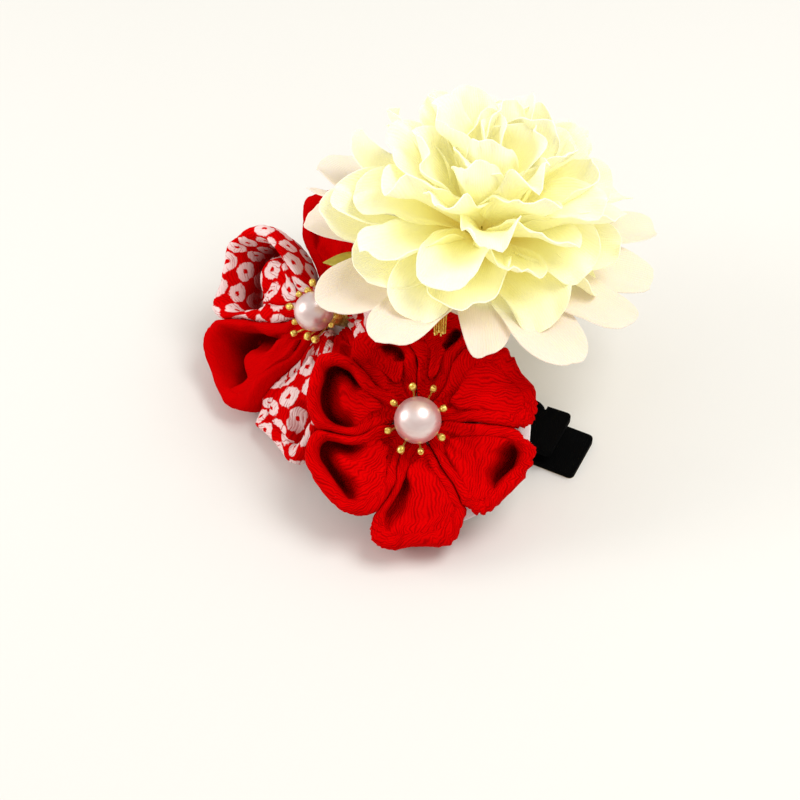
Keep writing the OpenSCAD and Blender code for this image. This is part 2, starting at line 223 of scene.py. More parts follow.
@dataclass(frozen=True)
class CrepeFinish:
    """Crinkled red crepe, plain or with white tie-dyed rings, with painted shade in its crinkles' furrows and in its
    folds and pockets.
    """

    name: str
    relief: float  # depth of the crinkles
    dotted: bool = False
    bright: Colour = (0.68, 0.0, 0.0005)
    # painted shade: colour of the crinkles' furrows, darker than the ridges
    furrow_shade: Colour = (0.38, 0.0, 0.0005)
    # painted shade: colour that the fold attribute mixes in at the walls' feet and in the pockets
    painted_shade: Colour = (0.10, 0.0, 0.0005)
    white: Colour = (0.86, 0.64, 0.62)
    pitch: float = 0.56  # from crinkle to crinkle
    ring_step: float = 6.5
    ring_radius: float = 1.85
    ring_hole: float = 0.45
    ring_edge: float = 0.12
    ring_corner: float = 2.6  # exponent of a ring's outline, 2 for a circle

    def rings(self, sheet: Shading, uv: Socket) -> Socket:
        """Gives 1 where the white rings are.

        Args:
            sheet: The material's nodes.
            uv: Coordinates on the cloth.

        Returns:
            The rings' share of the colour.
        """
        rough = sheet.times(sheet.cloud(uv, 1.1), 1.0, -0.5)
        rows = []
        for offset in (0.0, 0.5):
            terms = []
            for axis in sheet.split(uv)[:2]:
                cell = sheet.math("FRACT", sheet.times(axis, 1 / self.ring_step, offset + 100))
                away = sheet.math("ABSOLUTE", sheet.times(cell, self.ring_step, -self.ring_step / 2))
                terms.append(sheet.math("POWER", away, self.ring_corner))
            radius = sheet.math("POWER", sheet.math("ADD", *terms), 1 / self.ring_corner)
            radius = sheet.math("ADD", radius, rough)
            disc = sheet.step(radius, self.ring_radius + self.ring_edge, self.ring_radius - self.ring_edge)
            hole = sheet.step(radius, self.ring_hole - self.ring_edge, self.ring_hole + self.ring_edge)
            rows.append(sheet.times(disc, hole))
        return sheet.math("MAXIMUM", *rows)

    def build(self) -> Material:
        """Makes the material.

        Returns:
            The crepe.
        """
        sheet = Shading(self.name)
        uv = sheet.cloth_uv()
        u, v, _ = sheet.split(uv)
        along = sheet.math("ADD", u, sheet.times(sheet.cloud(uv, 0.30, 1.0), 2.0, -1.0))
        cell = sheet.node("CombineXYZ", {"X": sheet.times(along, 1 / self.pitch), "Y": sheet.times(v, 0.24)})
        streaks = sheet.step(sheet.cloud(cell.outputs["Vector"], 1.0, 1.0), 0.30, 0.70)
        jitter = sheet.times(sheet.cloud(sheet.scaled(uv, (0.35, 0.6, 1.0)), 1.0, 1.0), 1.3, -0.65)
        ripple = sheet.wave(sheet.math("ADD", along, jitter), self.pitch)
        height = sheet.blend(sheet.blend(ripple, streaks, 0.38), sheet.cloud(uv, 6.5), 0.24)
        # painted shade: the low parts of the crinkles are painted darker
        colour = sheet.mix(sheet.step(height, 0.10, 0.62), self.furrow_shade, self.bright)
        fold = sheet.attribute("fold")
        if self.dotted:
            # painted shade: the white rings fade in the crinkles' furrows and where the fold attribute paints shade
            unshaded_cloth = sheet.times(sheet.step(height, 0.06, 0.36), sheet.step(fold, 1.0, 0.2))
            colour = sheet.mix(sheet.times(self.rings(sheet, uv), unshaded_cloth), colour, self.white)
        # painted shade: the fold attribute darkens the cloth at the walls' feet and in the pockets' deep crescents
        colour = sheet.mix(sheet.times(fold, 0.85), colour, self.painted_shade)
        sheet.set(Base_Color=colour, Roughness=0.9, Specular_IOR_Level=0.01)
        sheet.raise_by(height, self.relief)
        return sheet.material


@dataclass(frozen=True)
class SilkFinish:
    """Fine ribbed silk that turns yellow and darker towards the stem, partly its own tint and partly painted shade deep
    in the dome.

    The glow stands for the light that thin silk passes on from its other side.
    """

    pale: Colour = (0.80, 0.68, 0.57)
    # painted shade: drab colour of the outer petals towards +x
    shaded_drab: Colour = (0.76, 0.71, 0.55)
    cream: Colour = (0.99, 0.97, 0.74)
    yellow: Colour = (1.0, 0.96, 0.48)
    # yellow and olive stand partly for painted shade deep in the dome
    olive: Colour = (0.88, 0.72, 0.10)
    rib_shade: Colour = (0.62, 0.52, 0.34)
    rib: float = 0.42
    glow: float = 0.12

    def build(self) -> Material:
        """Makes the material.

        Returns:
            The silk.
        """
        sheet = Shading("cream_silk")
        uv = sheet.cloth_uv()
        u, v, _ = sheet.split(uv)
        # painted shade in part: the yellow attribute grows yellower and darker deeper in the dome
        depth = sheet.math("ADD", sheet.attribute("yellow"), sheet.times(sheet.cloud(uv, 0.25), 0.14, -0.07))
        stops = ((0.0, self.pale), (0.09, self.shaded_drab), (0.2, self.cream), (0.62, self.yellow), (1.0, self.olive))
        ribs = sheet.wave(sheet.times(sheet.cloud(uv, 0.3, 1.0), 0.6, u), self.rib)
        weave = sheet.blend(ribs, sheet.wave(v, self.rib * 0.8), 0.3)
        colour = sheet.mix(sheet.times(weave, -0.14, 0.14), sheet.ramp(depth, stops), self.rib_shade)
        sheet.set(Base_Color=colour, Roughness=0.7, Specular_IOR_Level=0.2)
        sheet.set(Sheen_Weight=0.15, Sheen_Roughness=0.4)
        sheet.set(Emission_Color=colour, Emission_Strength=self.glow)
        sheet.set(Subsurface_Weight=0.35, Subsurface_Scale=0.0012, Subsurface_Radius=(1.0, 0.9, 0.5))
        sheet.raise_by(weave, 0.06, 0.8)
        return sheet.material


@dataclass(frozen=True)
class PearlFinish:
    """Pinkish white pearl with a clear glossy skin."""

    body: Colour = (0.84, 0.71, 0.68)
    pink: Colour = (0.74, 0.56, 0.53)

    def build(self) -> Material:
        """Makes the material.

        Returns:
            The pearl's skin.
        """
        sheet = Shading("pearl")
        bands = sheet.step(sheet.cloud(sheet.place((0.2, 0.2, 0.6)), 1.0), 0.35, 0.7)
        skin = sheet.times(sheet.cloud(sheet.place(), 0.9, 1.0), 0.06, 0.33)
        sheet.set(Base_Color=sheet.mix(bands, self.body, self.pink), Roughness=skin)
        sheet.set(Metallic=0.7, Specular_IOR_Level=0.7, Coat_Weight=0.15, Coat_Roughness=0.12, Coat_IOR=1.55)
        return sheet.material


@dataclass(frozen=True)
class RibbonFinish:
    """Black ribbon glued round the clip's arms, with a pale line at its lower edge."""

    black: Colour = (0.0008, 0.0008, 0.0009)
    worn: Colour = (0.003, 0.003, 0.0032)
    # colour of the pale line along the lowest edge
    glue: Colour = (0.62, 0.52, 0.36)
    rib: float = 0.35
    pale_line_height: float = 0.14

    def build(self) -> Material:
        """Makes the material.

        Returns:
            The ribbon.
        """
        sheet = Shading("black_ribbon")
        place = sheet.place()
        x, y, z = sheet.split(place)
        ribs = sheet.wave(sheet.times(sheet.cloud(place, 0.5), 0.3, x), self.rib)
        weave = sheet.blend(ribs, sheet.wave(y, self.rib * 0.6), 0.3)
        cloth = sheet.mix(sheet.times(weave, sheet.cloud(place, 1.2, 4.0)), self.black, self.worn)
        # a pale line along the ribbon's lowest edge
        edge = sheet.step(z, self.pale_line_height, self.pale_line_height * 0.6)
        sheet.set(Base_Color=sheet.mix(edge, cloth, self.glue), Roughness=0.7, Specular_IOR_Level=0.02)
        sheet.raise_by(weave, 0.05, 0.6)
        return sheet.material


@dataclass(frozen=True)
class GrainFinish:
    """A finish whose colour, roughness and relief follow one grain."""

    name: str
    dark: Colour  # where the grain is low
    light: Colour  # where it is high
    stretch: Place = (1.0, 1.0, 1.0)
    scale: float = 1.0
    detail: float = 2.0
    window: tuple[float, float] | None = None  # grain where the colour starts and ends to change
    lumps: float = 0.0  # share of broad lumps
    rough: tuple[float, float] = (0.9, 0.0)  # without the grain, and what the grain adds
    relief: tuple[float, float] = (0.0, 0.0)  # depth and strength
    shine: tuple[tuple[str, float], ...] = ()  # other inputs of the shader

    def build(self) -> Material:
        """Makes the material.

        Returns:
            The finished material.
        """
        sheet = Shading(self.name)
        grain = sheet.cloud(sheet.place(self.stretch), self.scale, self.detail)
        if self.lumps:
            grain = sheet.blend(grain, sheet.cloud(sheet.place(), 0.6), self.lumps)
        share = sheet.step(grain, *self.window) if self.window else grain
        sheet.set(Base_Color=sheet.mix(share, self.dark, self.light), **dict(self.shine))
        rough, gain = self.rough
        sheet.set(Roughness=sheet.times(grain, gain, rough) if gain else rough)
        if any(self.relief):
            sheet.raise_by(grain, *self.relief)
        return sheet.material


GOLD = GrainFinish(
    "gold_wire",
    dark=(0.66, 0.44, 0.06),
    light=(1.0, 0.80, 0.22),
    scale=2.6,
    detail=4.0,
    window=(0.62, 0.35),
    rough=(0.2, 0.2),
    relief=(0.05, 0.5),
    shine=(("Metallic", 0.75),),
)
FELT = GrainFinish(
    "white_felt",
    dark=(0.80, 0.70, 0.70),
    light=(0.93, 0.86, 0.85),
    stretch=(2.0, 1.2, 3.0),
    scale=2.0,
    detail=6.0,
    window=(0.35, 0.6),
    lumps=0.4,
    rough=(0.95, 0.0),
    relief=(0.12, 0.8),
    shine=(("Sheen_Weight", 0.4), ("Sheen_Roughness", 0.6), ("Specular_IOR_Level", 0.15)),
)
STEEL = GrainFinish(
    "spring_steel",
    dark=(0.38, 0.38, 0.40),
    light=(0.62, 0.62, 0.64),
    stretch=(6.0, 0.6, 6.0),
    detail=3.0,
    rough=(0.25, 0.2),
    relief=(0.02, 0.4),
    shine=(("Metallic", 1.0),),
)
LEAF = GrainFinish(
    "olive_leaf",
    dark=(0.34, 0.32, 0.03),
    light=(0.60, 0.48, 0.04),
    scale=0.8,
    detail=3.0,
    rough=(0.5, 0.0),
    relief=(0.1, 0.4),
)
FLOOR = GrainFinish(
    "pale_floor",
    dark=(0.785, 0.77, 0.73),
    light=(0.7794, 0.764, 0.7237),
    stretch=(2.0, 0.1, 1.0),
    shine=(("Specular_IOR_Level", 0.1),),
)


class Palette:
    """All finishes, each made once."""

    def __init__(self) -> None:
        """Makes the materials."""
        self.red = CrepeFinish("red_crepe", relief=0.17).build()
        # painted shade: the left flower's softer red crepe is a darker copy of the red crepe
        self.soft_shaded_red = CrepeFinish(
            "soft_shaded_red_crepe", relief=0.05, bright=(0.57, 0.0, 0.0005), furrow_shade=(0.46, 0.0, 0.0005), pitch=0.36
        ).build()
        self.dotted = CrepeFinish("dotted_crepe", relief=0.12, dotted=True, furrow_shade=(0.44, 0.0, 0.0005)).build()
        self.silk, self.pearl, self.ribbon = SilkFinish().build(), PearlFinish().build(), RibbonFinish().build()
        self.gold, self.felt, self.steel, self.leaf, self.floor = (
            finish.build() for finish in (GOLD, FELT, STEEL, LEAF, FLOOR)
        )


# Making and placing pieces


def finish_piece(
    mesh: BMesh,
    name: str,
    material: Material,
    body: str = UPPER,
    replaces: Sequence[str] = (),
    seat: Matrix | None = None,
) -> bpy.types.Object:
    """Turns a mesh in millimetres into a finished piece of the clip.

    Args:
        mesh: The mesh, which is freed.
        name: Name of the piece.
        material: Its material.
        body: The body that it moves with.
        replaces: Nodes of the part that it stands for.
        seat: Place of the mesh's own axes in the part's frame, in millimetres.

    Returns:
        The piece.
    """
    mesh.transform(Matrix.Scale(MM, 4) @ (seat or Matrix.Identity(4)))
    for face in mesh.faces:
        face.smooth = True
    piece = add_object(mesh, name, material)
    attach(piece, body)
    if replaces:
        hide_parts(*replaces)
    log.info("%s: %d faces on %s", name, len(piece.data.polygons), body)
    return piece


def add_object(mesh: BMesh, name: str, material: Material) -> bpy.types.Object:
    """Puts a mesh in metres into the scene.

    Args:
        mesh: The mesh, which is freed.
        name: Name of the object.
        material: Its material.

    Returns:
        The object.
    """
    data = bpy.data.meshes.new(name)
    mesh.to_mesh(data)
    mesh.free()
    data.materials.append(material)
    item = bpy.data.objects.new(name, data)
    bpy.context.scene.collection.objects.link(item)
    return item


def spun(angle: float, axis: str) -> Matrix:
    """Gives a turn by degrees about an axis."""
    return Matrix.Rotation(radians(angle), 4, axis)


def aimed(way: Vector, axis: str = "Z") -> Matrix:
    """Gives a turn that points an axis along a way."""
    return way.to_track_quat(axis, "Y").to_matrix().to_4x4()


def facing(place: Place, elevation: float, azimuth: float) -> Matrix:
    """Gives a flower's own axes from its face's angles, with Z out of its face and Y uphill."""
    return Matrix.Translation(place) @ spun(azimuth, "Z") @ spun(90 - elevation, "Y") @ spun(90, "Z")


def wiggle(*place: float) -> float:
    """Gives smooth noise from -1 to 1 at three numbers."""
    return noise.noise(Vector(place))


def ease(value: float) -> float:
    """Turns 0 to 1 into a smooth step from 0 to 1."""
    value = min(1.0, max(0.0, value))
    return value * value * (3 - 2 * value)


def between(a: float, b: float, share: float) -> float:
    """Gives the value at that share of the way from a to b."""
    return a + (b - a) * share


def face_outwards(mesh: BMesh) -> None:
    """Turns all faces outwards."""
    bmesh.ops.recalc_face_normals(mesh, faces=mesh.faces)


def thicken(mesh: BMesh, thickness: float) -> None:
    """Turns sheets into closed walls.

    Args:
        mesh: The sheets.
        thickness: Thickness of the walls.
    """
    face_outwards(mesh)
    bmesh.ops.solidify(mesh, geom=mesh.faces, thickness=thickness)
    face_outwards(mesh)


def turned(profile: Sequence[tuple[float, float]], steps: int) -> BMesh:
    """Spins an outline round the Z axis.

    Args:
        profile: Points of the outline as radius and height. Points on the axis close the shape.
        steps: Number of steps round.

    Returns:
        The round shape, with its normals outwards.
    """
    mesh = bmesh.new()
    points = [mesh.verts.new((radius, 0, height)) for radius, height in profile]
    edges = [mesh.edges.new(pair) for pair in zip(points, points[1:])]
    around = {"axis": (0, 0, 1), "cent": (0, 0, 0), "dvec": (0, 0, 0), "angle": 2 * pi, "steps": steps}
    bmesh.ops.spin(mesh, geom=points + edges, use_merge=True, use_duplicate=False, **around)
    bmesh.ops.remove_doubles(mesh, verts=mesh.verts, dist=1e-4)
    face_outwards(mesh)
    return mesh


def roughen(mesh: BMesh, depth: float, size: float, seed: float) -> None:
    """Moves points in and out by smooth noise.

    Args:
        mesh: The mesh.
        depth: Largest move.
        size: Size of the lumps.
        seed: Offset that makes pieces differ.
    """
    mesh.normal_update()
    shift = Vector((seed, seed * 0.7, -seed))
    for point in mesh.verts:
        point.co += point.normal * depth * noise.noise(point.co / size + shift)


def add_rod(mesh: BMesh, start: Vector, end: Vector, radius: float, end_radius: float | None = None) -> None:
    """Adds a thin straight rod with a few rings along it.

    Args:
        mesh: The mesh that it is added to.
        start: One end.
        end: The other end.
        radius: Radius at the start.
        end_radius: Radius at the end, the same if left out.
    """
    way = end - start
    rod = bmesh.ops.create_cone(
        mesh,
        cap_ends=True,
        segments=8,
        radius1=radius,
        radius2=radius if end_radius is None else end_radius,
        depth=way.length,
        matrix=Matrix.Translation((start + end) / 2) @ aimed(way),
    )["verts"]
    lengthwise = {e: None for v in rod for e in v.link_edges if e.calc_length() > 0.6 * way.length}
    bmesh.ops.subdivide_edges(mesh, edges=list(lengthwise), cuts=5, use_grid_fill=False)


# Crepe flowers


@dataclass(frozen=True)
class PetalShape:
    """One folded petal."""

    angle: float  # round the flower, in degrees
    reach: float
    width: float
    tall: float
    dip_side: float = 0.0  # deep place of the pocket, 0 outwards and 90 to the left
    dip_spread: float = 90.0  # to both sides, in degrees
    dip_depth: float = 0.0
    sink: float = 0.4  # of the pocket's middle under the edge
    square: float = 2.4  # exponent of the outline's round end; larger is squarer
    raw: float = 0.12  # depth of the bumps of a cut edge
    grain: float = 0.0  # turn of the pocket's crinkles in degrees
    slot: Slot = Slot.RED


@dataclass
class CrepeFlower:
    """A flower of folded crepe petals round a pearl with gold stamens, on a felt disc."""

    name: str
    seat: Matrix
    radius: float
    height: float
    petals: Sequence[PetalShape]
    tips: Sequence[Place]  # angle, distance share and height share of each bulb
    pearl_diameter: float
    felt_radius: float
    felt_shift: float = 0.0
    felt_side: float = 0.0
    crisp: bool = True  # crinkled crepe in its plain petals; otherwise a softer crepe whose darker reds are painted shade
    wall: float = 2.3
    seed: float = 1.0
    inner_radius: float = 2.6
    middle_share: float = 0.58
    widest: float = 0.70  # share of a petal's length where it is widest
    widest_side: float = 31.5  # largest angle from a petal's middle to its side
    overlap: float = 0.12  # of neighbours, which press into each other
    sway_size: float = 7.5  # distance over which the cloth sways
    sway_depth: float = 2.0
    swell: float = 0.16  # share of its height by which the cloth rises and sinks
    rest_height: float = 0.8  # over the surface, below which the cloth gives way
    glue: float = 0.1
    felt_thickness: float = 1.2
    felt_edge: float = 0.28
    around: int = 144
    tip_share: float = 0.08
    edge_low: float = 0.52  # height share of the rolled edge near the pearl
    shallow: float = 0.04  # depth share of a pocket away from its deep place
    slant: float = 58.0  # of the crinkles round the edge, in degrees
    fold_depth: float = 0.36
    crease_depth: float = 0.18
    crinkle_depth: float = 0.05
    pleat_depth: float = 0.24
    pleats: int = 26
    collar_radius: float = 1.5
    wire_diameter: float = 0.34
    bulb_diameter: float = 1.45
    bulb_dimple: float = 0.86
    pearl_hole: float = 0.45
    wall_rows: Sequence[tuple[float, float]] = (  # inset in walls and height share, up the outside
        *((1.00, 0.00), (0.74, 0.02), (0.52, 0.09), (0.32, 0.22), (0.16, 0.38), (0.06, 0.53)),
        *((0.00, 0.66), (0.00, 0.80), (0.04, 0.88), (0.14, 0.95), (0.30, 0.99), (0.50, 1.00)),
    )
    rim_rows: Sequence[tuple[float, float]] = (  # inset in walls and share of the pocket's depth, over the edge
        *((0.66, 0.02), (0.82, 0.08), (0.95, 0.18), (1.04, 0.32)),
        *((1.08, 0.50), (1.08, 0.70), (1.12, 0.88), (1.22, 0.98)),
    )
    floor_rows: int = 18

    @property
    def crest(self) -> int:
        """Gives the first row of the rim."""
        return len(self.wall_rows)

    @property
    def crease(self) -> int:
        """Gives the first row of the pocket's floor."""
        return self.crest + len(self.rim_rows)

    def widest_at(self, reach: float) -> float:
        """Gives the distance from the axis at which a petal is widest."""
        return between(self.inner_radius, reach, self.widest)

    def halves(self, index: int) -> tuple[float, float]:
        """Gives a petal's half widths to its right and left, as far as its neighbours leave room.

        Args:
            index: The petal's number.

        Returns:
            The two half widths.
        """
        shape, after = self.petals[index], self.petals[(index + 1) % len(self.petals)]
        reach = self.widest_at(self.radius * shape.reach)
        turns = (shape.angle - self.petals[index - 1].angle) % 360, (after.angle - shape.angle) % 360
        right, left = (
            (reach * tan(radians(min(self.widest_side, turn / 2))) + self.overlap / 2) * shape.width for turn in turns
        )
        return right, left

    def outline(self, shape: PetalShape, halves: tuple[float, float], step: float) -> tuple[float, float, float]:
        """Gives a point of the petal's outline.

        Args:
            shape: The petal.
            halves: Its half widths.
            step: Share of the way round, from the inner end.

        Returns:
            The point's x and y, and its share of the petal's length.
        """
        turn = 2 * pi * step
        along = (1 - cos(turn)) / 2
        reach = self.radius * shape.reach
        if along < self.widest:
            start = self.inner_radius / self.widest_at(reach)
            wide = min(1.0, sqrt(along / self.tip_share)) * between(start, 1.0, along / self.widest)
        else:
            late = (along - self.widest) / (1 - self.widest)
            wide = max(0.0, 1 - late**shape.square) ** (1 / shape.square)
        y = -halves[0] * wide if sin(turn) < 0 else halves[1] * wide
        return between(self.inner_radius, reach, along), y, along

    def edge_height(self, along: float) -> float:
        """Gives the rolled edge's height as a share, lower near the pearl."""
        return between(self.edge_low, 1.0, sin(pi / 2 * min(1.0, max(0.0, 1.25 * along))))

    def depth(self, shape: PetalShape, side: float) -> float:
        """Gives the pocket's depth in one direction from its middle, as a share of the petal's height."""
        away = abs((side - shape.dip_side + 180) % 360 - 180) / shape.dip_spread
        return max(self.shallow, shape.dip_depth * (1 - ease((away - 0.6) / 0.8)))

    def level(self, row: int, deep: float, inward: float) -> tuple[float, float, float]:
        """Gives where the cloth lies in one row of the wall, the rim or the pocket's floor.

        Args:
            row: The row's number, from the foot of the wall.
            deep: The pocket's depth on this side.
            inward: Share of the way to the pocket's middle.

        Returns:
            The inset in walls, the height as a share and the painted shade of the fold, darkest at the wall's foot and
            in the pocket's deep crescent.
        """
        # the last value of each row is painted shade: at the wall's foot, down the rim into the pocket and round the
        # floor's edge
        if row < self.crest:
            inset, share = self.wall_rows[row]
            return inset, share, 0.6 * (1 - ease(share / 0.5))
        if row < self.crease:
            inset, drop = self.rim_rows[row - self.crest]
            return inset, 1 - deep * drop, deep * ease((drop - 0.3) / 0.7)
        return self.rim_rows[-1][0], 1.0, deep * (1 - ease(inward / 0.28))

    def cup(self, index: int) -> BMesh:
        """Builds a petal as a cup whose cloth rolls over its edge into an open pocket.

        Args:
            index: The petal's number.

        Returns:
            The petal, in the flower's own axes.
        """
        shape, halves = self.petals[index], self.halves(index)
        reach, height = self.radius * shape.reach, self.height * shape.tall
        middle = between(self.inner_radius, reach, self.middle_share)
        outline = [self.outline(shape, halves, n / self.around) for n in range(self.around)]
        sides = [degrees(atan2(y / halves[y > 0], (x - middle) / (reach - middle))) for x, y, _ in outline]
        depths = [self.depth(shape, side) for side in sides]
        last = self.crease + self.floor_rows - 1
        mesh = bmesh.new()
        number, row_number = (mesh.verts.layers.int.new(name) for name in ("number", "row"))
        # the fold layer holds painted shade for the material
        painted_shade = mesh.verts.layers.float.new("fold")
        ring = bmesh.ops.create_circle(mesh, cap_ends=False, segments=self.around, radius=1.0)["verts"]
        for n, point in enumerate(ring):
            point[number] = n
        for row in range(last + 1):
            if row:
                edges = {e: None for v in ring for e in v.link_edges if self.on_row(e, row_number, row - 1)}
                grown = bmesh.ops.extrude_edge_only(mesh, edges=list(edges))["geom"]
                ring = [item for item in grown if isinstance(item, BMVert)]
            inward = max(0.0, (row - self.crease + 1) / (self.floor_rows + 0.6))
            for point in ring:
                point[row_number] = row
                x, y, along = outline[point[number]]
                deep = depths[point[number]]
                inset, level, point[painted_shade] = self.level(row, deep, inward)
                px = middle + (x - middle) * (1 - 2 * inset * self.wall / sum(halves)) * (1 - inward)
                py = y * (1 - inset * self.wall / halves[y > 0]) * (1 - inward)
                if row >= self.crease:
                    along = (px - self.inner_radius) / (reach - self.inner_radius)
                    top = 1 - shape.sink * (0.45 + 0.75 * max(0.0, along))
                    level = between(1 - deep, top, ease((inward + 0.02) / 0.70))
                rim = 1 + 0.05 * wiggle(along * 3, py * 0.3, self.seed + index)
                point.co = (px, py, height * self.edge_height(along) * level * rim)
                if row < self.crest and along > 0.5:
                    bump = shape.raw * wiggle(x * 1.9, y * 1.9, self.seed + row * 0.12)
                    point.co += Vector((x - middle, y, 0)).normalized() * bump * ease((along - 0.5) * 3)
        for end in (0, last):
            loop = [e for e in mesh.edges if e.is_boundary and self.on_row(e, row_number, end)]
            cap = bmesh.ops.contextual_create(mesh, geom=loop)["faces"]
            for point in bmesh.ops.poke(mesh, faces=cap)["verts"]:
                point[row_number], point[number] = end, -1
        self.lay_cloth(mesh, shape, outline, middle)
        face_outwards(mesh)
        self.fold(mesh, index)
        mesh.transform(spun(shape.angle, "Z") @ Matrix.Translation((0, 0, self.glue)))
        self.sway(mesh)
        self.settle(mesh)
        return mesh

    def sway(self, mesh: BMesh) -> None:
        """Sways the cloth sideways and in height, alike for all petals, so that neighbours keep together.

        Args:
            mesh: The petal.
        """
        for point in mesh.verts:
            x, y, _ = point.co
            far = ease((hypot(x, y) - 0.6 * self.pearl_diameter) / 7)
            place = Vector((x, y, 9 * self.seed)) / self.sway_size
            across, along, up = (noise.noise(place + Vector((0, 0, shift))) for shift in (0, 20, 40))
            point.co.x += self.sway_depth * far * across
            point.co.y += self.sway_depth * far * along
            point.co.z *= 1 + self.swell * far * up

    def settle(self, mesh: BMesh) -> None:
        """Flattens the soft cloth where it lies on the surface.

        Args:
            mesh: The petal.
        """
        back = self.seat.inverted()
        for point in mesh.verts:
            place = self.seat @ point.co
            if place.z < self.rest_height:
                place.z = self.rest_height * exp(place.z / self.rest_height - 1)
                point.co = back @ place

    @staticmethod
    def on_row(edge: bmesh.types.BMEdge, row_number: bmesh.types.BMLayerItem, row: int) -> bool:
        """Tells whether both ends of an edge lie on a row."""
        return all(v[row_number] == row for v in edge.verts)

    def lay_cloth(self, mesh: BMesh, shape: PetalShape, outline: list[Place], middle: float) -> None:
        """Writes the coordinates on the cloth: slanting round the edge, flat in the pocket and underneath.

        Args:
            mesh: The petal.
            shape: The petal's sizes.
            outline: Points of its outline.
            middle: Distance of the pocket's middle from the flower's axis.
        """
        number, row_number = (mesh.verts.layers.int[name] for name in ("number", "row"))
        uv = mesh.loops.layers.uv.new("cloth")
        grid = {(v[row_number], v[number]): v for v in mesh.verts}
        last = self.crease + self.floor_rows - 1
        centre = grid[last, -1]
        arcs = [0.0]
        for a, b in zip(outline, outline[1:] + outline[:1]):
            arcs.append(arcs[-1] + hypot(a[0] - b[0], a[1] - b[1]))
        climbs, spans = {}, {}
        for n in range(self.around):
            climbs[0, n] = 0.0
            for row in range(1, last + 1):
                climbs[row, n] = climbs[row - 1, n] + (grid[row, n].co - grid[row - 1, n].co).length
            spans[n] = climbs[last, n] + (centre.co - grid[last, n].co).length
        slant, grain = radians(self.slant), radians(shape.grain)
        shift = 17.3 * shape.angle
        for face in mesh.faces:
            pocket = all(v[row_number] >= self.crease - 1 for v in face.verts)
            under = all(v[row_number] == 0 for v in face.verts)
            wraps = any(v[number] == 0 for v in face.verts) and any(v[number] > self.around / 2 for v in face.verts)
            for loop in face.loops:
                v = loop.vert
                n, row = v[number], v[row_number]
                if under:
                    a, b = v.co.x, v.co.y
                elif n < 0:
                    a, b = 0.0, 0.0
                elif pocket:
                    out, way = spans[n] - climbs[row, n], atan2(v.co.y, v.co.x - middle) + grain
                    a, b = out * sin(way), out * cos(way)
                else:
                    arc, climb = arcs[self.around if wraps and n == 0 else n], climbs[row, n]
                    a, b = arc * cos(slant) + climb * sin(slant), climb * cos(slant) - arc * sin(slant)
                loop[uv].uv = (shift + a, b)

    def fold(self, mesh: BMesh, index: int) -> None:
        """Gives the cloth soft folds, deeper near the pearl.

        Args:
            mesh: The petal.
            index: The petal's number.
        """
        mesh.normal_update()
        for point in mesh.verts:
            x, y, _ = point.co
            near = 1 - ease((x - self.inner_radius) / (0.6 * self.radius))
            slow = noise.noise(point.co / 4.0 + Vector((index * 3.1, self.seed, 0)))
            middling = noise.noise(point.co / 1.9 + Vector((self.seed, 0, index * 1.7)))
            pleat = sin(atan2(y, x) * self.pleats + 2.4 * wiggle(x / 4, index, self.seed))
            fine = noise.noise(point.co / 0.8 + Vector((self.seed, index, 5)))
            depth = self.fold_depth * slow + self.crease_depth * middling + self.crinkle_depth * fine
            point.co += point.normal * (depth + self.pleat_depth * near * pleat)

    def stamen(self, mesh: BMesh, index: int) -> None:
        """Adds one stamen: a thin wire and a bulb with a dimple at its end.

        Args:
            mesh: The mesh that it is added to.
            index: Number of the stamen.
        """
        angle, far, high = self.tips[index]
        top = 0.5 * self.height
        out = Vector((cos(radians(angle)), sin(radians(angle)), 0))
        start = out * 0.8 * self.collar_radius + Vector((0, 0, top - 1))
        end = out * far * self.pearl_diameter + Vector((0, 0, top + high * self.pearl_diameter))
        add_rod(mesh, start, end, self.wire_diameter / 2)
        radius = (1 - 0.14 * (index % 3 == 1) - 0.08 * (index % 4 == 2)) * self.bulb_diameter / 2
        aim = ((end - start).normalized() + Vector((0, 0, 0.9 * sin(index * 2.1 + 1)))).normalized()
        seat = Matrix.Translation(end) @ aimed(aim) @ Matrix.Diagonal((0.92, 0.92, 1.2, 1.0))
        bulb = bmesh.ops.create_uvsphere(mesh, u_segments=20, v_segments=14, radius=radius, matrix=seat)["verts"]
        for point in bulb:
            beyond = (point.co - end).dot(aim) / radius
            point.co -= aim * radius * 1.5 * max(0.0, beyond - self.bulb_dimple)
            point.co += (point.co - end).normalized() * 0.06 * noise.noise(point.co * 2.2)

    def stamens(self) -> BMesh:
        """Builds the collar and all stamens.

        Returns:
            The stamens, in the flower's own axes.
        """
        top = 0.5 * self.height - self.glue
        mesh = turned([(0, 0), (self.collar_radius, 0), (self.collar_radius, top), (0, top)], 20)
        for index in range(len(self.tips)):
            self.stamen(mesh, index)
        return mesh

    def pearl(self) -> BMesh:
        """Builds the pearl with its drilled hole at the back.

        Returns:
            The pearl, in the flower's own axes.
        """
        radius, hole, steps = self.pearl_diameter / 2, self.pearl_hole, 40
        first = asin(hole / radius)
        profile = [(0.0, -radius * 0.55), (hole, -radius * 0.55), (hole, -radius * cos(first) + 0.12)]
        angles = [between(first + 0.05, pi, n / steps) for n in range(steps)]
        profile += [(radius * sin(angle), -radius * cos(angle)) for angle in angles] + [(0.0, radius)]
        bead = turned(profile, 64)
        bmesh.ops.translate(bead, verts=bead.verts, vec=(0, 0, 0.5 * self.height + radius))
        return bead

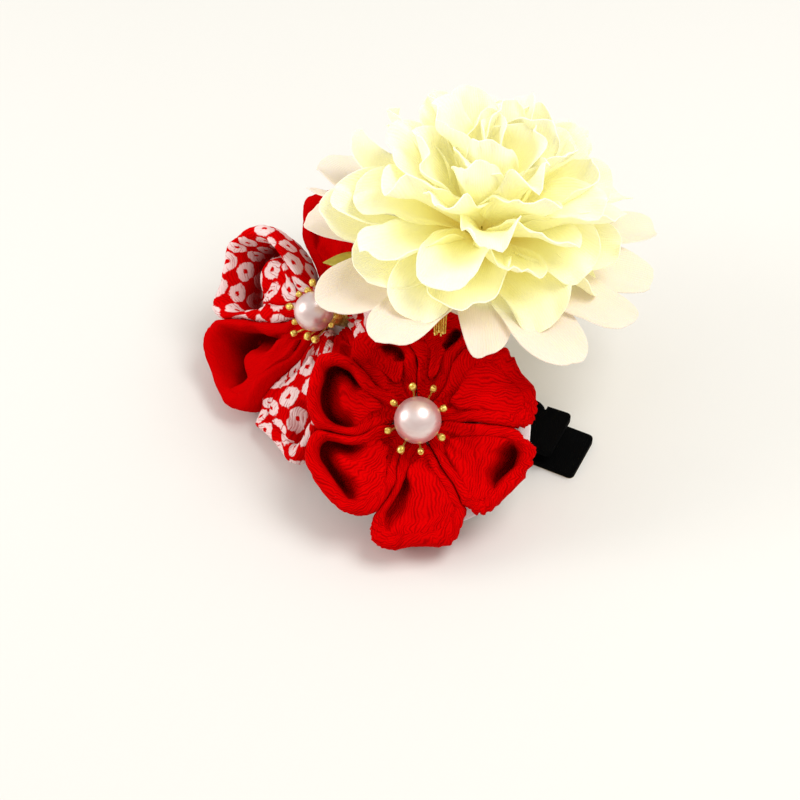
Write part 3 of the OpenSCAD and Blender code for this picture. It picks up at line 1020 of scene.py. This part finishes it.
    def felt(self) -> BMesh:
        """Builds the felt disc behind the petals.

        Returns:
            The disc, in its own axes.
        """
        radius, thick = self.felt_radius, self.felt_thickness
        flat = [0.0, radius * 0.5, radius * 0.85, radius - self.felt_edge]
        profile = [(out, -thick) for out in flat]
        profile += [(radius - 0.08, 0.1 - thick), (radius, -thick / 2), (radius - 0.08, -0.1)]
        disc = turned(profile + [(out, 0.0) for out in reversed(flat)], 128)
        roughen(disc, 0.12, 1.6, self.seed)
        return disc

    def build(self, palette: Palette) -> None:
        """Builds and dresses all pieces of the flower.

        Args:
            palette: The finishes.
        """
        plain = palette.red if self.crisp else palette.soft_shaded_red
        for index, shape in enumerate(self.petals):
            cloth = palette.dotted if shape.slot is Slot.DOTTED else plain
            self.dress(self.cup(index), f"petal_{index + 1}", "cloth", cloth, Matrix.Identity(4))
        side = spun(self.felt_side, "Z") @ Matrix.Translation((self.felt_shift, 0, 0))
        self.dress(self.felt(), "felt", "disc", palette.felt, side)
        lift = Matrix.Translation((0, 0, self.glue))
        self.dress(self.stamens(), "stamens", "gold", palette.gold, lift)
        self.dress(self.pearl(), "pearl", "bead", palette.pearl, lift)

    def dress(self, mesh: BMesh, part: str, form: str, material: Material, place: Matrix) -> None:
        """Finishes a piece that stands for one of the flower's nodes.

        Args:
            mesh: The piece's mesh.
            part: The node's name after the flower's.
            form: Last word of the piece's name.
            material: Its material.
            place: Its place in the flower's own axes.
        """
        node = f"{self.name}_{part}"
        finish_piece(mesh, f"{node}_{form}", material, replaces=[node], seat=self.seat @ place)


# Silk flower


@dataclass(frozen=True)
class SilkPetal:
    """One silk petal."""

    turn: float  # round the stem, in degrees
    length: float
    half: float  # of its greatest width
    slope: float  # at the stem, in degrees
    tip_slope: float
    cup: float  # half of the angle through which it bends across
    roll: float  # turn about its own length at the tip
    curl: float  # extra upward turn of its outer third
    base: float  # height of its foot
    ruffle: float  # height of the waves along its edge
    outer: bool = False  # one of the pale petals of the outer layer


@dataclass(frozen=True)
class SilkLayer:
    """One layer of the dome."""

    count: int
    low: float  # direction of its lowest petal above level, in degrees
    high: float
    cup: float  # half of the angle through which a petal bends across


@dataclass
class SilkFlower:
    """The full cream flower: ruffled petals in five layers on a green calyx."""

    place: Place = (0.5, 12.5, 29.5)
    lean: float = 9.0  # of its axis from upright, in degrees
    lean_side: float = 79.0  # compass angle towards which it leans
    reach: float = 31.5
    step: float = 1.728
    stem_radius: float = 2.2
    thickness: float = 0.20
    calyx_depth: float = 9.0
    calyx_radius: float = 5.5
    back_side: float = 38.0  # compass angle where its petals stand up by the angle back
    front_side: float = 262.0  # compass angle where its low inner petals are shorter
    back: float = 10.0
    dome_height: float = 27.0
    golden_angle: float = 137.5
    spine_steps: int = 40
    across: int = 20
    along: int = 26
    bunching: float = 0.92  # share of a quarter turn by which columns bunch at a petal's edges
    foot_width: float = 0.22  # share of a petal's width
    notch_depth: float = 0.016  # share of a petal's length
    notch_width: float = 0.3  # share of a petal's half width
    palest: float = 0.22  # least yellow of an inner petal
    outer: Sequence[tuple[float, float, float, float]] = (  # turn, length, half width and roll of each outer petal
        *((88, 33.4, 7.6, 10), (104, 29.5, 3.6, 36), (118, 28.4, 6.0, -6), (159, 30.8, 6.2, -4)),
        *((190, 32.4, 5.6, 4), (217, 24.9, 4.8, -10), (241, 30.0, 5.8, 6), (270, 29.0, 6.0, -8)),
        *((296, 28.4, 5.8, 14), (318, 30.0, 6.0, -12), (348, 29.0, 6.2, 10), (20, 28.5, 6.2, 12)),
        (56, 28.0, 6.0, -10),
    )
    layers: Sequence[SilkLayer] = (
        SilkLayer(15, 8, 21, 44),
        SilkLayer(15, 24, 38, 50),
        SilkLayer(14, 41, 58, 56),
        SilkLayer(12, 60, 84, 60),
    )
    stamen_count: int = 9
    leaf_start: Place = (-16.5, 3.4, 27.0)
    leaf_tip: Place = (-24.3, 0.6, 26.0)
    leaf_half: float = 2.0
    leaf_thickness: float = 0.25
    thread_start: Place = (1.2, -4.6, 30.6)
    thread_end: Place = (3.1, -8.6, 30.0)
    thread_count: int = 6
    thread_radius: float = 0.15
    rng: random.Random = field(default_factory=lambda: random.Random(11))

    @property
    def seat(self) -> Matrix:
        """Gives the flower's own axes."""
        return Matrix.Translation(self.place) @ spun(self.lean_side, "Z") @ spun(self.lean, "Y")

    @property
    def top(self) -> float:
        """Gives the height of the stem's end."""
        return (len(self.layers) + 1) * self.step

    def spine(self, petal: SilkPetal) -> list[Place]:
        """Gives the line along the middle of a petal.

        Args:
            petal: The petal.

        Returns:
            Distance from the stem, height and slope in radians at each step.
        """
        line = []
        x, z, stride = 0.0, 0.0, petal.length / self.spine_steps
        for n in range(self.spine_steps + 1):
            share = n / self.spine_steps
            angle = radians(between(petal.slope, petal.tip_slope, share) + petal.curl * ease((share - 0.62) / 0.38))
            line.append((x, z, angle))
            x += cos(angle) * stride
            z += sin(angle) * stride
        return line

    def tone(self, place: Vector, share: float, outer: bool) -> float:
        """Gives how yellow the silk is: pale at the dome's outside and deep yellow to olive inside it, partly the
        silk's own tint and partly painted shade.

        Args:
            place: Point in the flower's own axes.
            share: Share of the petal's length.
            outer: Whether the petal is one of the outer layer.

        Returns:
            A value from 0, pinkish white, to 1, olive.
        """
        if outer:
            # painted shade in part: outer petals turn yellow to olive near the stem, and their tips grow drab towards
            # +x
            return max(0.9 * (1 - ease((share - 0.10) / 0.55)), 0.10 * place.x / self.reach)
        # painted shade in part: yellower and darker deeper inside the dome
        flat = hypot(place.x, place.y) / self.reach
        depth = 1 - hypot(flat, max(0.0, place.z - self.step) / self.dome_height)
        return min(1.0, max(self.palest, 0.20 + 0.84 * depth))

    def add_petal(self, mesh: BMesh, petal: SilkPetal) -> None:
        """Adds one cupped petal with a ruffled edge.

        Args:
            mesh: The layer's mesh.
            petal: The petal.
        """
        pick = self.rng.uniform
        yellow, uv = mesh.verts.layers.float["yellow"], mesh.loops.layers.uv["cloth"]
        part, seed = pick(0.66, 0.76), pick(0, 50)
        skew, notch, sway = pick(-0.10, 0.10), pick(-0.5, 0.5), pick(-0.10, 0.10)
        line = self.spine(petal)
        axes = spun(petal.turn, "Z") @ Matrix.Translation((self.stem_radius + 0.25, 0, petal.base))
        grid = bmesh.ops.create_grid(mesh, x_segments=self.along, y_segments=self.across, size=1.0)["verts"]
        quarter = self.bunching * pi / 2
        cloth = {}
        for point in grid:
            s, t = (point.co.x + 1) / 2, sin(quarter * point.co.y) / sin(quarter)
            own = part + (1 - part) * max(0.0, 1 - abs(t) ** 2.2) ** 0.5
            own *= (1 + skew * t) * (1 + 0.008 * wiggle(t * 9, seed, 3))
            own -= self.notch_depth * exp(-(((t - notch) / self.notch_width) ** 2))
            share = min(1.0, s * own)
            foot = between(self.foot_width, 1.0, ease(s / 0.72))
            bend = radians(petal.cup) * between(0.8, 1.0, share)
            bow = petal.half / bend * foot
            y, lift = bow * sin(bend * t), bow * (1 - cos(bend * t))
            rim = ease((max(abs(t), (s - 0.5) / 0.5) - 0.30) / 0.70) * ease(s / 0.5)
            wave = wiggle(t * 1.7, share * 3.0, seed) + 0.3 * wiggle(t * 3.6, s * 4, seed + 9)
            lift += petal.ruffle * rim * wave * 1.8 + 0.9 * share * wiggle(share * 2.2, t * 1.3, seed)
            y += 0.5 * rim * wiggle(share * 3.0, t, seed + 20) + sway * petal.length * share * share
            roll = radians(petal.roll) * share
            y, lift = y * cos(roll) - lift * sin(roll), y * sin(roll) + lift * cos(roll)
            first = min(int(share * self.spine_steps), self.spine_steps - 1)
            ends = zip(line[first], line[first + 1])
            x, z, slope = (between(a, b, share * self.spine_steps - first) for a, b in ends)
            cloth[point] = (petal.half * t * foot + seed * 5, share * petal.length)
            point.co = axes @ Vector((x - lift * sin(slope), y, z + lift * cos(slope)))
            point[yellow] = self.tone(point.co, share, petal.outer)
        for face in {f for v in grid for f in v.link_faces}:
            for loop in face.loops:
                loop[uv].uv = cloth[loop.vert]

    def outer_petals(self) -> list[SilkPetal]:
        """Gives the pale petals of the outer layer.

        Returns:
            The petals of the table, with seeded slopes, cups and curls.
        """
        pick = self.rng.uniform
        return [
            SilkPetal(
                *(turn, length, half, 4 + pick(-2, 3), pick(-6, 2), pick(12, 26), roll, pick(-10, 8)),
                base=0.5,
                ruffle=0.45,
                outer=True,
            )
            for turn, length, half, roll in self.outer
        ]

    def inner_length(self, turn: float, rise: float) -> float:
        """Gives an inner petal's length, shorter low over the front petals and near the top.

        Args:
            turn: The petal's angle round the stem in degrees.
            rise: Its direction above level in degrees.

        Returns:
            Its length.
        """
        low = 1 - ease((rise - 14) / 20)
        front = max(0.0, cos(radians(turn - self.front_side))) ** 2
        left = max(0.0, cos(radians(turn - self.front_side + 120)))
        return self.reach * (between(0.83, 0.64, (rise - 8) / 76) + (0.05 * left - 0.11 * front) * low)

    def inner_petals(self, index: int) -> list[SilkPetal]:
        """Gives the petals of one of the inner layers, spread over the dome by the golden angle.

        Args:
            index: The layer's number in the table.

        Returns:
            The petals, with seeded differences.
        """
        layer, pick = self.layers[index], self.rng.uniform
        before = sum(other.count for other in self.layers[:index])
        petals = []
        for n in range(layer.count):
            turn = self.golden_angle * (before + n) + pick(-9, 9)
            rise = between(layer.low, layer.high, (n + 0.5) / layer.count)
            rise += self.back * cos(radians(turn - self.back_side)) + pick(-3, 3)
            length = self.inner_length(turn, rise) * pick(0.88, 1.06)
            half = between(6.2, 5.3, rise / 90) * pick(0.88, 1.16)
            slopes = (rise + 10, rise - 12 + pick(-8, 8))
            cup, roll, curl = layer.cup * pick(0.6, 1.25), pick(-44, 44), pick(-40, 60)
            base = (index + 1) * self.step + 0.08 * n
            petals.append(SilkPetal(turn, length, half, *slopes, cup, roll, curl, base, ruffle=pick(0.8, 1.7)))
        return petals

    def ring(self, petals: Sequence[SilkPetal]) -> BMesh:
        """Builds one layer of petals.

        Args:
            petals: The layer's petals.

        Returns:
            The layer, in the flower's own axes.
        """
        mesh = bmesh.new()
        mesh.verts.layers.float.new("yellow")
        mesh.loops.layers.uv.new("cloth")
        for petal in petals:
            self.add_petal(mesh, petal)
        thicken(mesh, self.thickness)
        return mesh

    def calyx(self) -> BMesh:
        """Builds the green cone and stem under the petals.

        Returns:
            The calyx, in the flower's own axes.
        """
        wide, narrow, foot, edge = self.calyx_radius, self.stem_radius, -self.calyx_depth, 0.4
        profile = [(0.0, foot), (wide - edge, foot), (wide, foot + edge)]
        shares = [n / 8 for n in range(1, 9)]
        profile += [(between(wide, narrow, share**0.8), between(foot + edge, -0.3, share)) for share in shares]
        cone = turned(profile + [(narrow, self.top - edge), (narrow - edge, self.top), (0.0, self.top)], 48)
        for point in cone.verts:
            if point.co.z < -0.5:
                flute = 1 + 0.05 * cos(8 * atan2(point.co.y, point.co.x))
                point.co.x *= flute
                point.co.y *= flute
        return cone

    def stamens(self) -> BMesh:
        """Builds the olive stamens that stand in the open middle.

        Returns:
            The stamens, in the flower's own axes.
        """
        mesh, foot = bmesh.new(), self.top - 0.5
        for n in range(self.stamen_count):
            turn = radians(self.golden_angle * n)
            spread = self.stem_radius * sqrt((n + 0.5) / self.stamen_count)
            out = Vector((cos(turn), sin(turn), 0)) * spread
            end = out * 1.6 + Vector((0, 0, foot + self.rng.uniform(4.0, 6.5)))
            add_rod(mesh, out * 0.7 + Vector((0, 0, foot)), end, 0.16, 0.24)
        return mesh

    def leaf(self) -> BMesh:
        """Builds the pointed leaf that shows under the petals.

        Returns:
            The leaf in the part's frame.
        """
        mesh, start = bmesh.new(), Vector(self.leaf_start)
        way = Vector(self.leaf_tip) - start
        side = way.cross(Vector((0, 0, 1))).normalized()
        up = side.cross(way).normalized()
        for point in bmesh.ops.create_grid(mesh, x_segments=16, y_segments=6, size=1.0)["verts"]:
            share, t = (point.co.x + 1) / 2, point.co.y
            wide = self.leaf_half * (0.35 + 0.65 * sin(pi * min(1.0, 0.25 + 0.75 * share))) * (1 - share**6)
            rise = 0.5 * sin(pi * share) + 0.4 * abs(t) * (1 - share)
            point.co = start + way * share + side * t * wide + up * rise
        bmesh.ops.remove_doubles(mesh, verts=mesh.verts, dist=0.02)
        thicken(mesh, self.leaf_thickness)
        return mesh

    def threads(self) -> BMesh:
        """Builds the cut ends of the gold threads under the front petals.

        Returns:
            The threads in the part's frame.
        """
        mesh, start, end = bmesh.new(), Vector(self.thread_start), Vector(self.thread_end)
        way = end - start
        side = way.cross(Vector((0, 0, 1))).normalized()
        for n in range(self.thread_count):
            shift = side * 0.34 * (n - (self.thread_count - 1) / 2) + Vector((0, 0, 0.16 * (n % 2)))
            add_rod(mesh, start + shift * 1.25, end + shift + way * 0.06 * (n % 3), self.thread_radius)
        return mesh

    def build(self, palette: Palette) -> None:
        """Builds and dresses the flower.

        Args:
            palette: The finishes.
        """
        layers = [self.outer_petals()] + [self.inner_petals(index) for index in range(len(self.layers))]
        for index, petals in enumerate(layers, 1):
            node, mesh = f"mum_ring_{index}", self.ring(petals)
            piece = finish_piece(mesh, f"{node}_silk", palette.silk, replaces=[node], seat=self.seat)
            piece.data.set_sharp_from_angle(angle=radians(50))
        finish_piece(self.calyx(), "mum_calyx_cone", palette.leaf, replaces=["mum_calyx"], seat=self.seat)
        finish_piece(self.stamens(), "mum_stamens", palette.leaf, seat=self.seat)
        finish_piece(self.leaf(), "mum_leaf", palette.leaf)
        finish_piece(self.threads(), "gold_threads", palette.gold)


# Clip


@dataclass
class Clip:
    """The ribbon-covered spring clip and the felt wedge on it."""

    frame: dict
    edge_round: float = 0.16
    wire: float = 0.5
    coils: float = 6.5
    spring_radius: float = 0.9
    pin_x: float = 16.0
    pin_height: float = 2.7
    coil_steps: int = 28
    felt_mesh: float = 1.6

    def copy_node(self, node: str, flat: float) -> BMesh:
        """Copies a node's mesh in millimetres with its doubles and flat edges merged.

        Args:
            node: Name of the node.
            flat: Largest angle in degrees at an edge that is merged.

        Returns:
            The copy.
        """
        mesh = bmesh.new()
        mesh.from_mesh(self.frame["nodes"][node].data)
        mesh.transform(Matrix.Scale(1 / MM, 4))
        bmesh.ops.remove_doubles(mesh, verts=mesh.verts, dist=0.002)
        bmesh.ops.dissolve_limit(mesh, angle_limit=radians(flat), verts=mesh.verts, edges=mesh.edges)
        return mesh

    def rounded(self, node: str) -> BMesh:
        """Copies an arm and rounds its edges as ribbon does.

        Args:
            node: Name of the arm.

        Returns:
            The rounded arm.
        """
        mesh = self.copy_node(node, 4)
        bmesh.ops.bevel(
            mesh,
            geom=[e for e in mesh.edges if len(e.link_faces) == 2 and e.calc_face_angle() > radians(40)],
            offset=self.edge_round,
            offset_type="OFFSET",
            segments=3,
            profile=0.5,
            affect="EDGES",
            material=-1,
            clamp_overlap=True,
        )
        bmesh.ops.triangulate(mesh, faces=[f for f in mesh.faces if len(f.verts) > 4])
        return mesh

    def spring(self) -> BMesh:
        """Builds the coil spring by spinning a round wire along the pin.

        Returns:
            The spring in the part's frame.
        """
        mesh = bmesh.new()
        length = self.coils * self.wire * 1.02
        start = Matrix.Translation((self.pin_x + self.spring_radius, -length / 2, self.pin_height))
        ring = bmesh.ops.create_circle(mesh, cap_ends=True, segments=12, radius=self.wire / 2, matrix=start)["verts"]
        steps = int(self.coils * self.coil_steps)
        bmesh.ops.spin(
            mesh,
            geom=list({f for v in ring for f in v.link_faces}),
            cent=(self.pin_x, 0, self.pin_height),
            axis=(0, 1, 0),
            dvec=(0, length / steps, 0),
            angle=2 * pi * self.coils,
            steps=steps,
            use_merge=False,
            use_duplicate=False,
        )
        face_outwards(mesh)
        return mesh

    def wedge(self) -> BMesh:
        """Builds the soft felt wedge from the node's plain one.

        Returns:
            The wedge in the part's frame.
        """
        mesh = self.copy_node("flower_mount", 3)
        bmesh.ops.triangulate(mesh, faces=mesh.faces)
        for _ in range(4):
            long = [e for e in mesh.edges if e.calc_length() > self.felt_mesh]
            if long:
                bmesh.ops.subdivide_edges(mesh, edges=long, cuts=1, use_grid_fill=True)
                bmesh.ops.triangulate(mesh, faces=[f for f in mesh.faces if len(f.verts) > 3])
        for _ in range(3):
            bmesh.ops.smooth_vert(mesh, verts=mesh.verts, factor=0.5, use_axis_x=True, use_axis_y=True, use_axis_z=True)
        face_outwards(mesh)
        roughen(mesh, 0.15, 1.4, 3.0)
        return mesh

    def build(self, palette: Palette) -> None:
        """Builds and dresses the clip.

        Args:
            palette: The finishes.
        """
        for side, body in (("lower", LOWER), ("upper", UPPER)):
            mesh = self.rounded(f"clip_{side}_arm")
            arm = finish_piece(mesh, f"{side}_arm_ribbon", palette.ribbon, body, [f"clip_{side}_arm"])
            arm.data.shade_smooth()
            arm.data.set_sharp_from_angle(angle=radians(35))
        finish_piece(self.spring(), "spring_coil", palette.steel, LOWER, ["clip_spring"])
        pin = self.frame["nodes"]["hinge_pin"]
        pin.data.materials.clear()
        pin.data.materials.append(palette.steel)
        finish_piece(self.wedge(), "felt_wedge", palette.felt, UPPER, ["flower_mount"])


# Stage


@dataclass
class Stage:
    """Floor, light and camera."""

    camera_place: Place = (88.32, -192.92, 254.51)
    azimuth: float = 26.7
    elevation: float = 50.0
    focal_pixels: float = 1804.0
    image_width: float = 800.0
    sensor: float = 36.0
    floor_half: float = 900.0
    target: Place = (-2.0, -2.0, 20.0)
    sky: Colour = (1.0, 0.99, 0.96)
    sky_strength: float = 0.72

    def aim(self, data: bpy.types.ID, place: Place, way: Vector) -> bpy.types.Object:
        """Places a lamp or the camera so that it looks along a way.

        Args:
            data: The lamp or the camera.
            place: Its place.
            way: The way that it looks.

        Returns:
            Its object.
        """
        holder = bpy.data.objects.new(data.name, data)
        holder.matrix_world = Matrix.Translation(Vector(place) * MM) @ aimed(way, "-Z")
        bpy.context.scene.collection.objects.link(holder)
        return holder

    def light(self, name: str, place: Place, size: float, power: float) -> None:
        """Adds a soft square light that faces the clip.

        Args:
            name: Name of the light.
            place: Its place.
            size: Length of its sides.
            power: Its power in watts.
        """
        lamp = bpy.data.lights.new(name, "AREA")
        lamp.shape, lamp.size, lamp.energy = "SQUARE", size * MM, power
        self.aim(lamp, place, Vector(self.target) - Vector(place))

    def camera(self) -> None:
        """Adds the camera at the photograph's viewing angle."""
        around, down = radians(self.azimuth), radians(self.elevation)
        lens = bpy.data.cameras.new("camera")
        lens.sensor_fit, lens.sensor_width, lens.clip_start = "HORIZONTAL", self.sensor, 0.01
        lens.lens = self.focal_pixels / self.image_width * self.sensor
        way = Vector((-sin(around) * cos(down), cos(around) * cos(down), -sin(down)))
        bpy.context.scene.camera = self.aim(lens, self.camera_place, way)

    def build(self, palette: Palette) -> None:
        """Builds the stage.

        Args:
            palette: The finishes.
        """
        mesh = bmesh.new()
        bmesh.ops.create_grid(mesh, x_segments=4, y_segments=4, size=self.floor_half * MM)
        floor = add_object(mesh, "floor", palette.floor)
        self.light("overhead_light", (190, 60, 450), 240, 1.3)
        self.light("side_light", (-400, -180, 210), 220, 0.85)
        world = bpy.data.worlds.new("studio")
        world.use_nodes = True
        background = world.node_tree.nodes["Background"].inputs
        background["Color"].default_value = (*self.sky, 1.0)
        background["Strength"].default_value = self.sky_strength
        bpy.context.scene.view_settings.view_transform = "Standard"
        bpy.context.scene.world = world
        self.camera()


FRONT_PETALS = (
    PetalShape(160, 0.94, 1.00, 1.00, -4, 100, 0.92, sink=0.16),
    PetalShape(218, 0.98, 1.00, 1.00, -50, 75, 0.86, sink=0.14),
    PetalShape(270, 1.04, 1.00, 0.95, -104, 46, 0.60, sink=0.14, square=4.5, raw=0.3),
    PetalShape(324, 0.94, 1.00, 1.00, 26, 34, 0.90, sink=0.10, square=3.6, raw=0.6, grain=70),
    PetalShape(28, 0.89, 1.00, 0.95, sink=0.06, square=5.0, raw=0.7, grain=30),
    PetalShape(73, 0.92, 1.00, 0.80, -60, 36, 0.85, sink=0.10, grain=40),
    PetalShape(116, 0.86, 1.00, 0.68, -60, 50, 0.80, sink=0.20, grain=30),
)
LEFT_PETALS = (
    PetalShape(147, 0.97, 0.80, 0.32, 0, 90, 0.70),
    PetalShape(192, 1.00, 1.00, 1.00, -10, 110, 0.86, sink=0.40, slot=Slot.DOTTED),
    PetalShape(256, 1.05, 1.03, 1.00, -72, 72, 1.00, sink=0.22),
    PetalShape(287, 1.03, 1.00, 0.76, 60, 26, 0.60, sink=0.05, square=4.2, slot=Slot.DOTTED),
    PetalShape(345, 0.46, 1.00, 0.52),
    PetalShape(40, 0.44, 1.00, 0.55, slot=Slot.DOTTED),
)
FRONT_TIPS = (
    *((99, 0.71, 0.42), (64, 0.74, 0.40), (25, 0.60, 0.36), (325, 0.62, 0.36)),
    *((276, 0.66, 0.40), (241, 0.72, 0.42), (200, 0.66, 0.36), (145, 0.62, 0.36)),
)
LEFT_TIPS = (
    *((95, 0.86, 0.50), (122, 0.80, 0.44), (143, 0.76, 0.50), (165, 0.66, 0.40)),
    *((185, 0.78, 0.46), (212, 0.86, 0.52), (240, 0.74, 0.42), (262, 0.84, 0.50)),
    *((290, 0.66, 0.40), (318, 0.70, 0.44), (10, 0.66, 0.42), (50, 0.70, 0.46)),
)


def main() -> None:
    """Builds the clip, its flowers and the stage."""
    logging.basicConfig(level=logging.INFO, format="%(message)s")
    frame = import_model()
    palette = Palette()
    Stage().build(palette)
    Clip(frame).build(palette)
    front = CrepeFlower("front", facing((2, -14.5, 12.82), 51, -64), 21, 9, FRONT_PETALS, FRONT_TIPS, 8, 17)
    left = CrepeFlower("left", facing((-18, -2.5, 17.20), 41, -123), 25, 10, LEFT_PETALS, LEFT_TIPS, 7, 11.5)
    replace(front, felt_shift=2.9, felt_side=-25, seed=2.0).build(palette)
    replace(left, crisp=False, seed=7.0).build(palette)
    SilkFlower().build(palette)


if __name__ == "__main__":
    main()
